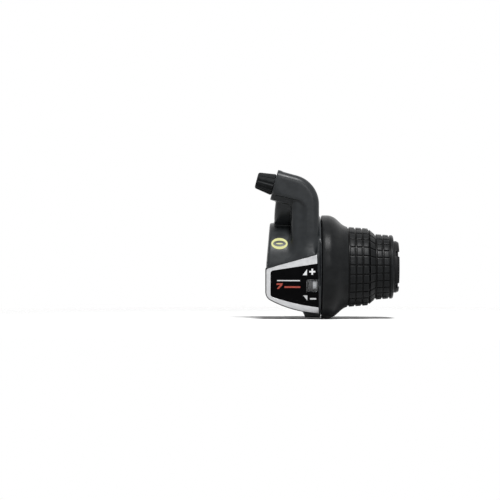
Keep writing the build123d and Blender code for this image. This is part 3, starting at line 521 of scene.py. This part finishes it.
def softness(x, y, z):
    """Weight of a point in mm: each limit is a distance inside it over the width it fades in."""
    over_bezel = z - BEZEL_Z - BEZEL_SLOPE * (x - BEZEL_X)
    nook = min(
        (x - NOOK_LEFT) / 2, (NOOK_RIGHT - x) / 2, (NOOK_TOP - z) / 3, over_bezel / 2,
        (NOOK_BACK - y) / 1.5,
    )
    if x > NECK_SIDE:
        nook = min(nook, (FOOT_TOP - z) / 3)
    arm_corner = min(
        (CORNER_RIGHT - x) / 2.5, (CORNER_TOP - z) / 3, (z - CORNER_LOW) / 2,
        (CORNER_BACK - y) / 1.5,
    )
    return max(nook, arm_corner)


# %% Housing
SOFTENING_PASSES = 180
HOUSING_KEEP = 0.42
housing_shell = moulded("housing", "housing_shell", voxel=0.28, passes=14, cutter=slot_cutter)
soft_group = housing_shell.vertex_groups.new(name="nook")
for vertex in housing_shell.data.vertices:
    weight = softness(*(vertex.co / MM))
    if weight > 0 and vertex.normal.y < FACING_BACK:
        soft_group.add([vertex.index], min(1.0, weight), "REPLACE")
apply_modifier(
    housing_shell, "SMOOTH", factor=0.5, iterations=SOFTENING_PASSES, vertex_group=soft_group.name
)
apply_modifier(housing_shell, "DECIMATE", ratio=HOUSING_KEEP)
print("housing_shell thinned to:", triangles(housing_shell))
place_on(housing_shell, "housing", housing_plastic, "housing")

# %% [markdown]
# The barrel is a ribbed knob, the bezel a painted frame and the end ring a notched ring that keeps
# the grip on. Their CAD shapes are right, but every edge is sharp. A bevel would stumble over the
# many small triangles of the ribs and notches, so they get the same skin with a finer voxel.

# %% Barrel, bezel and end ring
barrel_knob = moulded("adjuster_barrel", "barrel_knob", voxel=0.14, passes=6, keep=0.5)
place_on(barrel_knob, "adjuster", barrel_plastic, "adjuster_barrel")
bezel_frame = moulded("indicator_bezel", "bezel_frame", voxel=0.13, passes=6, keep=0.4)
place_on(bezel_frame, "housing", bezel_silver, "indicator_bezel")
end_ring = moulded("retaining_ring", "end_ring", voxel=0.16, passes=5, keep=0.5)
place_on(end_ring, "housing", nylon_black, "retaining_ring")

# %% [markdown]
# The sleeve that is clamped on the bar ends at the drum's inboard wall. The wall leans and the
# sleeve's end is square, so on one side it would stand out. Scaling a copy would shift its clamp
# as well, so a bisect takes a millimetre off its end alone and fills the cut.

# %% Sleeve on the bar, trimmed at its inboard end
SLEEVE_END = -26.3
SLEEVE_SMOOTH = math.radians(30)
bar_sleeve = merged_copy("bracket", "bar_sleeve")
with editing(bar_sleeve):
    bpy.ops.mesh.bisect(
        plane_co=(SLEEVE_END * MM, 0, 0), plane_no=(1, 0, 0), use_fill=True, clear_inner=True
    )
pick(bar_sleeve)
bpy.ops.object.shade_smooth_by_angle(angle=SLEEVE_SMOOTH)
place_on(bar_sleeve, "housing", nylon_black, "bracket")
print("bar_sleeve starts at", round(min(v.co.x for v in bar_sleeve.data.vertices) / MM, 2))

# %% [markdown]
# A thin rubber washer lies under the barrel, on the end of the arm, and turns and slides with it.
# A circle is extruded inward to a flat ring, which gets a thickness and a fine bevel while it lies
# flat. Only then is it turned into the arm's direction, because that is easier to check.

# %% Seal washer under the adjuster barrel
ARM_END = Vector((-23.9, -15.0, 41.4))
ARM_TILT = math.radians(15)
SEAL_OUTER, SEAL_INNER, SEAL_THICK = 5.1, 2.7, 0.11
SEAL_BEVEL, SEAL_LIFT = 0.03, 0.075
SHARP = math.radians(40)  # edges sharper than this are bevelled
along = Vector((-math.cos(ARM_TILT), 0, math.sin(ARM_TILT)))
seal = circle("barrel_seal", count=48, radius=SEAL_OUTER)
shrink = SEAL_INNER / SEAL_OUTER
with editing(seal):
    bpy.ops.mesh.extrude_edges_move()
    bpy.ops.transform.resize(value=(shrink, shrink, 1), center_override=(0, 0, 0))
    bpy.ops.mesh.select_all(action="SELECT")
    bpy.ops.mesh.normals_make_consistent(inside=False)
apply_modifier(seal, "SOLIDIFY", thickness=SEAL_THICK * MM, offset=0.0)
apply_modifier(
    seal, "BEVEL", width=SEAL_BEVEL * MM, segments=2, limit_method="ANGLE", angle_limit=SHARP
)
seal.location = (ARM_END + along * SEAL_LIFT) * MM
seal.rotation_euler = along.to_track_quat("Z", "Y").to_euler()
settle(seal)
place_on(seal, "adjuster", rubber_black)
print("seal faces:", len(seal.data.polygons), "triangles:", triangles(seal))

# %% [markdown]
# ## The rubber sleeve
# The grip is a bell of soft rubber: a smooth flange and flare, then six columns of twenty-six
# blocks, then a plain bead. It is made as on a lathe: one ring of edges is extruded along the
# bar from station to station. The block faces are then extruded outward, column by column,
# which leaves the grooves between them, and a bevel rounds every block. A station is a place
# along the bar and a radius there.

# %% Stations of the sleeve
ROWS = 26
PER_ROW = 8
FIRST_GROOVE = math.radians(3.0)
GROOVE = 0.8
BLOCK_RISE = 0.6
EDGES = [
    (13.55, 20.4), (17.0, 20.13), (20.45, 19.87), (23.9, 19.6), (27.35, 16.8), (30.8, 16.5),
    (34.25, 16.2),
]
COLUMNS = list(zip(EDGES, EDGES[1:]))
FLARE = [
    (0.25, 25.7), (0.42, 26.08), (0.85, 26.28), (2.0, 26.28), (3.05, 26.28), (4.2, 26.18),
    (5.3, 25.9), (6.4, 25.4), (7.4, 24.75), (8.4, 23.92), (9.4, 22.98), (10.4, 22.05),
    (11.4, 21.3), (12.4, 20.78), (13.2, 20.48), (13.5, 20.4),
]
BEAD = [(35.07, 16.2), (35.75, 16.2), (36.25, 16.1), (36.6, 15.84), (36.75, 15.4)]
INSIDE = [
    (36.75, 14.1), (34.25, 14.1), (30.8, 14.4), (27.35, 14.7), (23.9, 17.5), (20.45, 17.77),
    (17.0, 18.03), (11.45, 18.3), (1.95, 24.4), (0.25, 24.4),
]


def block_radius(x):
    """Radius over the blocks at a station, between the column edges."""
    for (x0, r0), (x1, r1) in COLUMNS:
        if x <= x1:
            return r0 + (r1 - r0) * (x - x0) / (x1 - x0)
    return EDGES[-1][1]


floor_line = []
for (x0, _), (x1, _) in COLUMNS:
    start = x0 + GROOVE
    for x in (x0, start, start + (x1 - start) / 3, start + 2 * (x1 - start) / 3):
        floor_line.append((x, block_radius(x) - BLOCK_RISE))
last_x, last_r = EDGES[-1]
floor_line += [(x, last_r - BLOCK_RISE) for x in (last_x, last_x + GROOVE)]
stations = FLARE + floor_line + BEAD + INSIDE
print("stations:", len(stations))

# %% Turn the sleeve ring by ring
x, r = INSIDE[-1]
sleeve = circle(
    "rubber_sleeve", ROWS * PER_ROW, r, location=(x * MM, 0, 0), rotation=(0, math.pi / 2, 0)
)
settle(sleeve)
first = sleeve.data.vertices[0].co
have = math.atan2(first.z, -first.y)
want = FIRST_GROOVE + math.pi / (ROWS * PER_ROW)
sleeve.rotation_euler = (have - want, 0, 0)
settle(sleeve)
first = sleeve.data.vertices[0].co
turned = math.degrees(math.atan2(first.z, -first.y))
print("first vertex at", round(turned, 3), "degrees above the front")
with editing(sleeve):
    for next_x, next_r in stations:
        bpy.ops.mesh.extrude_edges_move(TRANSFORM_OT_translate={"value": ((next_x - x) * MM, 0, 0)})
        swell = next_r / r
        bpy.ops.transform.resize(value=(1, swell, swell), center_override=(next_x * MM, 0, 0))
        x, r = next_x, next_r
    bpy.ops.mesh.select_all(action="SELECT")
    bpy.ops.mesh.remove_doubles(threshold=0.004 * MM)
    bpy.ops.mesh.normals_make_consistent(inside=False)
print("sleeve faces:", len(sleeve.data.polygons))

# %% Raise the blocks out of the grooves
PITCH = 2 * math.pi / ROWS


def in_groove(centre):
    """Whether a face lies on one of the lengthwise grooves."""
    turn = (math.atan2(centre.z, -centre.y) - FIRST_GROOVE) / PITCH
    return abs(turn - round(turn)) < 0.5 / PER_ROW


for (x0, r0), (x1, r1) in COLUMNS:
    low, high = (x0 + GROOVE) * MM, x1 * MM
    under = ((r0 + r1) / 2 - BLOCK_RISE) * MM
    bpy.ops.object.mode_set(mode="EDIT")
    bpy.ops.mesh.select_mode(type="FACE")
    bpy.ops.mesh.select_all(action="DESELECT")
    bpy.ops.object.mode_set(mode="OBJECT")
    chosen = 0
    for face in sleeve.data.polygons:
        c = face.center
        outside = c.y * face.normal.y + c.z * face.normal.z > 0
        if low < c.x < high and outside and not in_groove(c):
            face.select = True
            chosen += 1
    bpy.ops.object.mode_set(mode="EDIT")
    swell = (under + BLOCK_RISE * MM) / under
    bpy.ops.mesh.extrude_region_move()
    bpy.ops.transform.resize(value=(1, swell, swell), center_override=((low + high) / 2, 0, 0))
    bpy.ops.object.mode_set(mode="OBJECT")
    print("column at", round(x0, 2), "faces raised:", chosen)

# %% [markdown]
# The bevel rounds the blocks. The depth below the blocks is then stored as a mask, from 0 on their
# faces to 1 on the groove floors, and the rubber's finish paints shade into its colour by it.

# %% Round the blocks and finish the sleeve
BLOCK_BEVEL = 0.26
BLOCK_SMOOTH = math.radians(38)
SUNK_FROM, SUNK_OVER = 0.1, 0.35
apply_modifier(
    sleeve, "BEVEL", width=BLOCK_BEVEL * MM, segments=2, limit_method="ANGLE", angle_limit=SHARP,
    use_clamp_overlap=True,
)
pick(sleeve)
bpy.ops.object.shade_smooth_by_angle(angle=BLOCK_SMOOTH)
# mask for the painted groove shade: 0 on the block faces, 1 on the groove floors
groove_shade_mask = sleeve.data.attributes.new("groove_shade_mask", "FLOAT", "POINT")
for vertex, mark in zip(sleeve.data.vertices, groove_shade_mask.data):
    x, y, z = vertex.co / MM
    if EDGES[0][0] - 0.1 < x < last_x + GROOVE:
        below = block_radius(x) - math.hypot(y, z)
        mark.value = min(1.0, max(0.0, (below - SUNK_FROM) / SUNK_OVER))
place_on(sleeve, "grip", rubber_black, "grip_rubber")
print("sleeve triangles:", triangles(sleeve))

# %% [markdown]
# ## Printed marks
# The panel carries a plus, a minus, two small arrows, a white bar, a red seven and a red bar. The
# drum has a yellow oval ring with a sliver in it. An image texture would do on a flat label, but
# these surfaces are crowned. Each print is drawn flat in front of the part, thrown back onto the
# surface with a projecting Shrinkwrap and given the thickness of a coat of ink.

# %% Throwing a flat print onto a surface
INK_COAT = 0.04
PRINT_FRONT = -40.0


def project(piece, target, lift):
    """Project a flat mesh along +Y onto a surface and give it thickness."""
    apply_modifier(
        piece, "SHRINKWRAP", target=target, wrap_method="PROJECT", use_project_y=True,
        use_positive_direction=True, use_negative_direction=False, offset=lift * MM,
    )
    apply_modifier(piece, "SOLIDIFY", thickness=INK_COAT * MM, offset=0.0)


def flat_shape(name, corners, cuts):
    """Flat face in front of the part from (x, z) corners in mm, cut finely enough to bend."""
    piece = polygon(name, [(x * MM, PRINT_FRONT * MM, z * MM) for x, z in corners])
    with editing(piece):
        bpy.ops.mesh.quads_convert_to_tris()
        bpy.ops.mesh.subdivide(number_cuts=cuts)
        bpy.ops.mesh.normals_make_consistent(inside=False)
    return piece


# %% Signs on the panel
PANEL_LIFT = 0.03
PLUS = [
    (-4.5, -0.75), (-4.5, -1.85), (-3.4, -1.85), (-3.4, -2.65), (-4.5, -2.65), (-4.5, -3.75),
    (-5.3, -3.75), (-5.3, -2.65), (-6.4, -2.65), (-6.4, -1.85), (-5.3, -1.85), (-5.3, -0.75),
]
MINUS = [(-5.9, -15.5), (-2.8, -15.5), (-2.8, -16.3), (-5.9, -16.3)]
ARROW_UPPER = [(-9.7, -4.0), (-7.5, -4.0), (-7.5, -1.0)]
ARROW_LOWER = [(-9.3, -14.2), (-7.2, -14.2), (-7.2, -16.8)]
WHITE_BAR = [(-22.4, -6.5), (-11.0, -6.5), (-11.0, -7.0), (-22.4, -7.0)]
RED_SEVEN = [
    (-22.6, -8.1), (-19.6, -8.1), (-19.8, -9.0), (-21.5, -10.9), (-22.5, -10.9), (-20.9, -8.9),
    (-22.7, -8.9),
]
RED_BAR = [(-18.7, -9.6), (-10.8, -9.6), (-10.8, -10.4), (-18.7, -10.4)]
for name, corners, ink, slot in (
    ("sign_plus", PLUS, ink_white, "number_grey"),
    ("sign_minus", MINUS, ink_white, "number_grey"),
    ("arrow_upper", ARROW_UPPER, ink_white, "number_grey"),
    ("arrow_lower", ARROW_LOWER, ink_white, "number_grey"),
    ("white_bar", WHITE_BAR, ink_white, "number_grey"),
    ("red_seven", RED_SEVEN, ink_red, "panel_gloss"),
    ("red_bar", RED_BAR, ink_red, "panel_gloss"),
):
    mark = flat_shape(name, corners, cuts=3)
    project(mark, nodes["indicator_panel"], PANEL_LIFT)
    place_on(mark, "housing", ink)
    print(name, "front at", round(min(v.co.y for v in mark.data.vertices) / MM, 2))

# %% Yellow oval on the drum
OVAL_X, OVAL_Z = -21.2, 11.8
RING_OUTER, RING_INNER, EYE = (4.1, 2.8), (3.2, 1.5), (1.7, 0.35)
RING_POINTS, RING_SPAN = 41, 1.024
EYE_POINTS = 24
DRUM_LIFT = 0.05


def oval(half_x, half_z, count, span=1.0):
    """Points of an oval; a span just over 1 brings the last point back beside the first."""
    turns = [2 * math.pi * span * k / count for k in range(count)]
    return [(OVAL_X + half_x * math.cos(a), OVAL_Z + half_z * math.sin(a)) for a in turns]


ring_outer = oval(*RING_OUTER, RING_POINTS, RING_SPAN)
ring_inner = oval(*RING_INNER, RING_POINTS, RING_SPAN)
for name, corners in (
    ("yellow_ring", ring_outer + ring_inner[::-1]),
    ("yellow_eye", oval(*EYE, EYE_POINTS)),
):
    mark = flat_shape(name, corners, cuts=2)
    project(mark, housing_shell, DRUM_LIFT)
    place_on(mark, "housing", ink_yellow)
    depths = [v.co.y / MM for v in mark.data.vertices]
    print(name, "depth:", round(min(depths), 2), "to", round(max(depths), 2))

# %% [markdown]
# The number ring turns behind the window and carries the seven gear numbers, one click apart. Each
# is a text made into a mesh, cut finely and then bent round the ring point by point, which keeps
# its strokes even. They ride with the grip, so the right one stands in the window at each click.

# %% Gear numbers on the ring
NUMBER_X = -3.4
NUMBER_RADIUS = 21.2
NUMBER_LIFT = 0.04
NUMBER_SIZE, NUMBER_BOLD, NUMBER_WIDEN = 6.2, 0.24, 1.9
FIRST_NUMBER = math.radians(-25.6)
CLICK = math.radians(16.0)
GEARS = 7
for gear in range(1, GEARS + 1):
    bpy.ops.object.select_all(action="DESELECT")
    bpy.ops.object.text_add(location=(NUMBER_X * MM, 0, 0), rotation=(math.pi / 2, 0, 0))
    text = bpy.context.object.data
    text.body = str(gear)
    text.size = NUMBER_SIZE * MM
    text.align_x = "CENTER"
    text.align_y = "CENTER"
    text.offset = NUMBER_BOLD * MM
    bpy.ops.object.convert(target="MESH")
    digit = bpy.context.object
    digit.name = f"gear_number_{gear}"
    digit.scale.x = NUMBER_WIDEN
    settle(digit)
    with editing(digit):
        bpy.ops.mesh.remove_doubles(threshold=0.01 * MM)
        bpy.ops.mesh.quads_convert_to_tris()
        bpy.ops.mesh.subdivide(number_cuts=3)
    radius = (NUMBER_RADIUS + NUMBER_LIFT) * MM
    for vertex in digit.data.vertices:
        turn = FIRST_NUMBER - (gear - 1) * CLICK + vertex.co.z / radius
        vertex.co.y = -radius * math.cos(turn)
        vertex.co.z = radius * math.sin(turn)
    apply_modifier(digit, "SOLIDIFY", thickness=INK_COAT * MM, offset=0.0)
    place_on(digit, "grip", ink_bright)
print("gear numbers:", GEARS)

# %% [markdown]
# ## Finishes for the CAD pieces that stay
# The window, the panel, the rear cover, the screws and what lies inside keep their CAD shapes.
# Only the materials in their slots change.

# %% Dress the CAD nodes
dress = {
    nylon_black: ("neck_cover", "grip_core"),
    steel_screw: ("neck_cover_screws", "housing_screws"),
    panel_gloss: ("indicator_panel",),
    window_clear: ("indicator_window",),
    steel_bolt: ("clamp_bolt", "clamp_nut", "adjuster_nut", "adjuster_stem"),
    spring_steel: ("click_spring", "casing_seat"),
    acetal_grey: ("cable_spool",),
    number_grey: ("number_ring",),
}
for material, names in dress.items():
    for name in names:
        mesh = nodes[name].data
        mesh.materials.clear()
        mesh.materials.append(material)
print("dressed nodes:", sum(len(names) for names in dress.values()))

# %% [markdown]
# ## Floor, light and camera
# The part is shown as in a catalogue: white all round and soft light from the front and above.
# The floor is a pale disc that fades out, so it takes a shadow without drawing a horizon. Floor
# and world are white only where the camera, a mirror or glass looks at them. The light that they
# send on to the part is weaker, so that its colours come out about as they are written.


# %% What is looked at directly
def seen_directly(tree):
    """1 for camera, mirror and glass rays, 0 for light that bounces on."""
    path = tree.nodes.new("ShaderNodeLightPath").outputs
    seen = combine(tree, "MAXIMUM", path["Is Camera Ray"], path["Is Transmission Ray"])
    return combine(tree, "MAXIMUM", seen, path["Is Glossy Ray"])


# %% Pale floor
FLOOR_GAP, FLOOR_RADIUS = 0.1, 450.0
FADE_FROM, FADE_TO = 50.0, 300.0
PAPER_BOUNCE, PAPER_SEEN = 0.5, 0.9
floor_z = cad_box[0].z - FLOOR_GAP * MM
floor = circle(
    "studio_floor", count=96, radius=FLOOR_RADIUS, fill_type="NGON", location=(0, 0, floor_z)
)
settle(floor)
paper = bpy.data.materials.new("studio_paper")
paper.use_nodes = True
tree = paper.node_tree
shader = tree.nodes["Principled BSDF"]
shader.inputs["Roughness"].default_value = 0.9
shader.inputs["Specular IOR Level"].default_value = 0.1
tone = remap(tree, seen_directly(tree), 0.0, 1.0, PAPER_BOUNCE, PAPER_SEEN)
pale = tree.nodes.new("ShaderNodeCombineColor")
for channel in pale.inputs:
    tree.links.new(tone, channel)
tree.links.new(pale.outputs["Color"], shader.inputs["Base Color"])
place = tree.nodes.new("ShaderNodeTexCoord").outputs["Object"]
reach = tree.nodes.new("ShaderNodeVectorMath")
reach.operation = "LENGTH"
tree.links.new(place, reach.inputs[0])
fading = remap(tree, reach.outputs["Value"], FADE_FROM * MM, FADE_TO * MM, 1.0, 0.0)
tree.links.new(fading, shader.inputs["Alpha"])
floor.data.materials.append(paper)
print("floor at", round(floor_z / MM, 2))

# %% White surroundings
WORLD_BOUNCE, WORLD_SEEN = 0.18, 1.0
world = bpy.data.worlds.new("studio_world")
bpy.context.scene.world = world
world.use_nodes = True
tree = world.node_tree
back = tree.nodes["Background"]
back.inputs["Color"].default_value = (1, 1, 1, 1)
strength = remap(tree, seen_directly(tree), 0.0, 1.0, WORLD_BOUNCE, WORLD_SEEN)
tree.links.new(strength, back.inputs["Strength"])
print("world:", world.name)

# %% [markdown]
# Three round area lamps light the part: the key from above the front, a weak one low in front for
# the panel and the window, and a wide faint one behind, so that the back isn't lost. Places are in
# metres, sizes are the discs' diameters, and powers are in watts.

# %% Soft lamps
AIM = Vector((0, 0, 0.01))


def lamp(name, place, size, power):
    """Round area lamp that points at the part."""
    data = bpy.data.lights.new(name, "AREA")
    data.shape = "DISK"
    data.size = size
    data.energy = power
    item = bpy.data.objects.new(name, data)
    bpy.context.scene.collection.objects.link(item)
    item.location = place
    item.rotation_euler = (AIM - Vector(place)).to_track_quat("-Z", "Y").to_euler()


lamp("key_lamp", (0.1, -0.44, 0.67), size=0.2, power=9.6)
lamp("front_lamp", (0.15, -0.92, 0.3), size=0.2, power=1.8)
lamp("back_lamp", (0.1, 0.75, 0.45), size=0.6, power=0.5)

# %% [markdown]
# The camera stands square to the front with a long lens, as far away as a catalogue picture is
# taken from. The lens follows from the width that the picture takes in at the part.

# %% Camera
SENSOR = 36.0
VIEW_DISTANCE, VIEW_WIDTH = 1.2, 0.255
VIEW_X, VIEW_Z = -36, 8.6
camera_data = bpy.data.cameras.new("catalogue_camera")
camera = bpy.data.objects.new("catalogue_camera", camera_data)
bpy.context.scene.collection.objects.link(camera)
camera_data.sensor_width = SENSOR
camera_data.lens = SENSOR * VIEW_DISTANCE / VIEW_WIDTH
camera.location = (VIEW_X * MM, -VIEW_DISTANCE, VIEW_Z * MM)
camera.rotation_euler = (math.pi / 2, 0, 0)
bpy.context.scene.camera = camera
bpy.context.scene.view_settings.view_transform = "Standard"
print("lens:", round(camera_data.lens, 1))
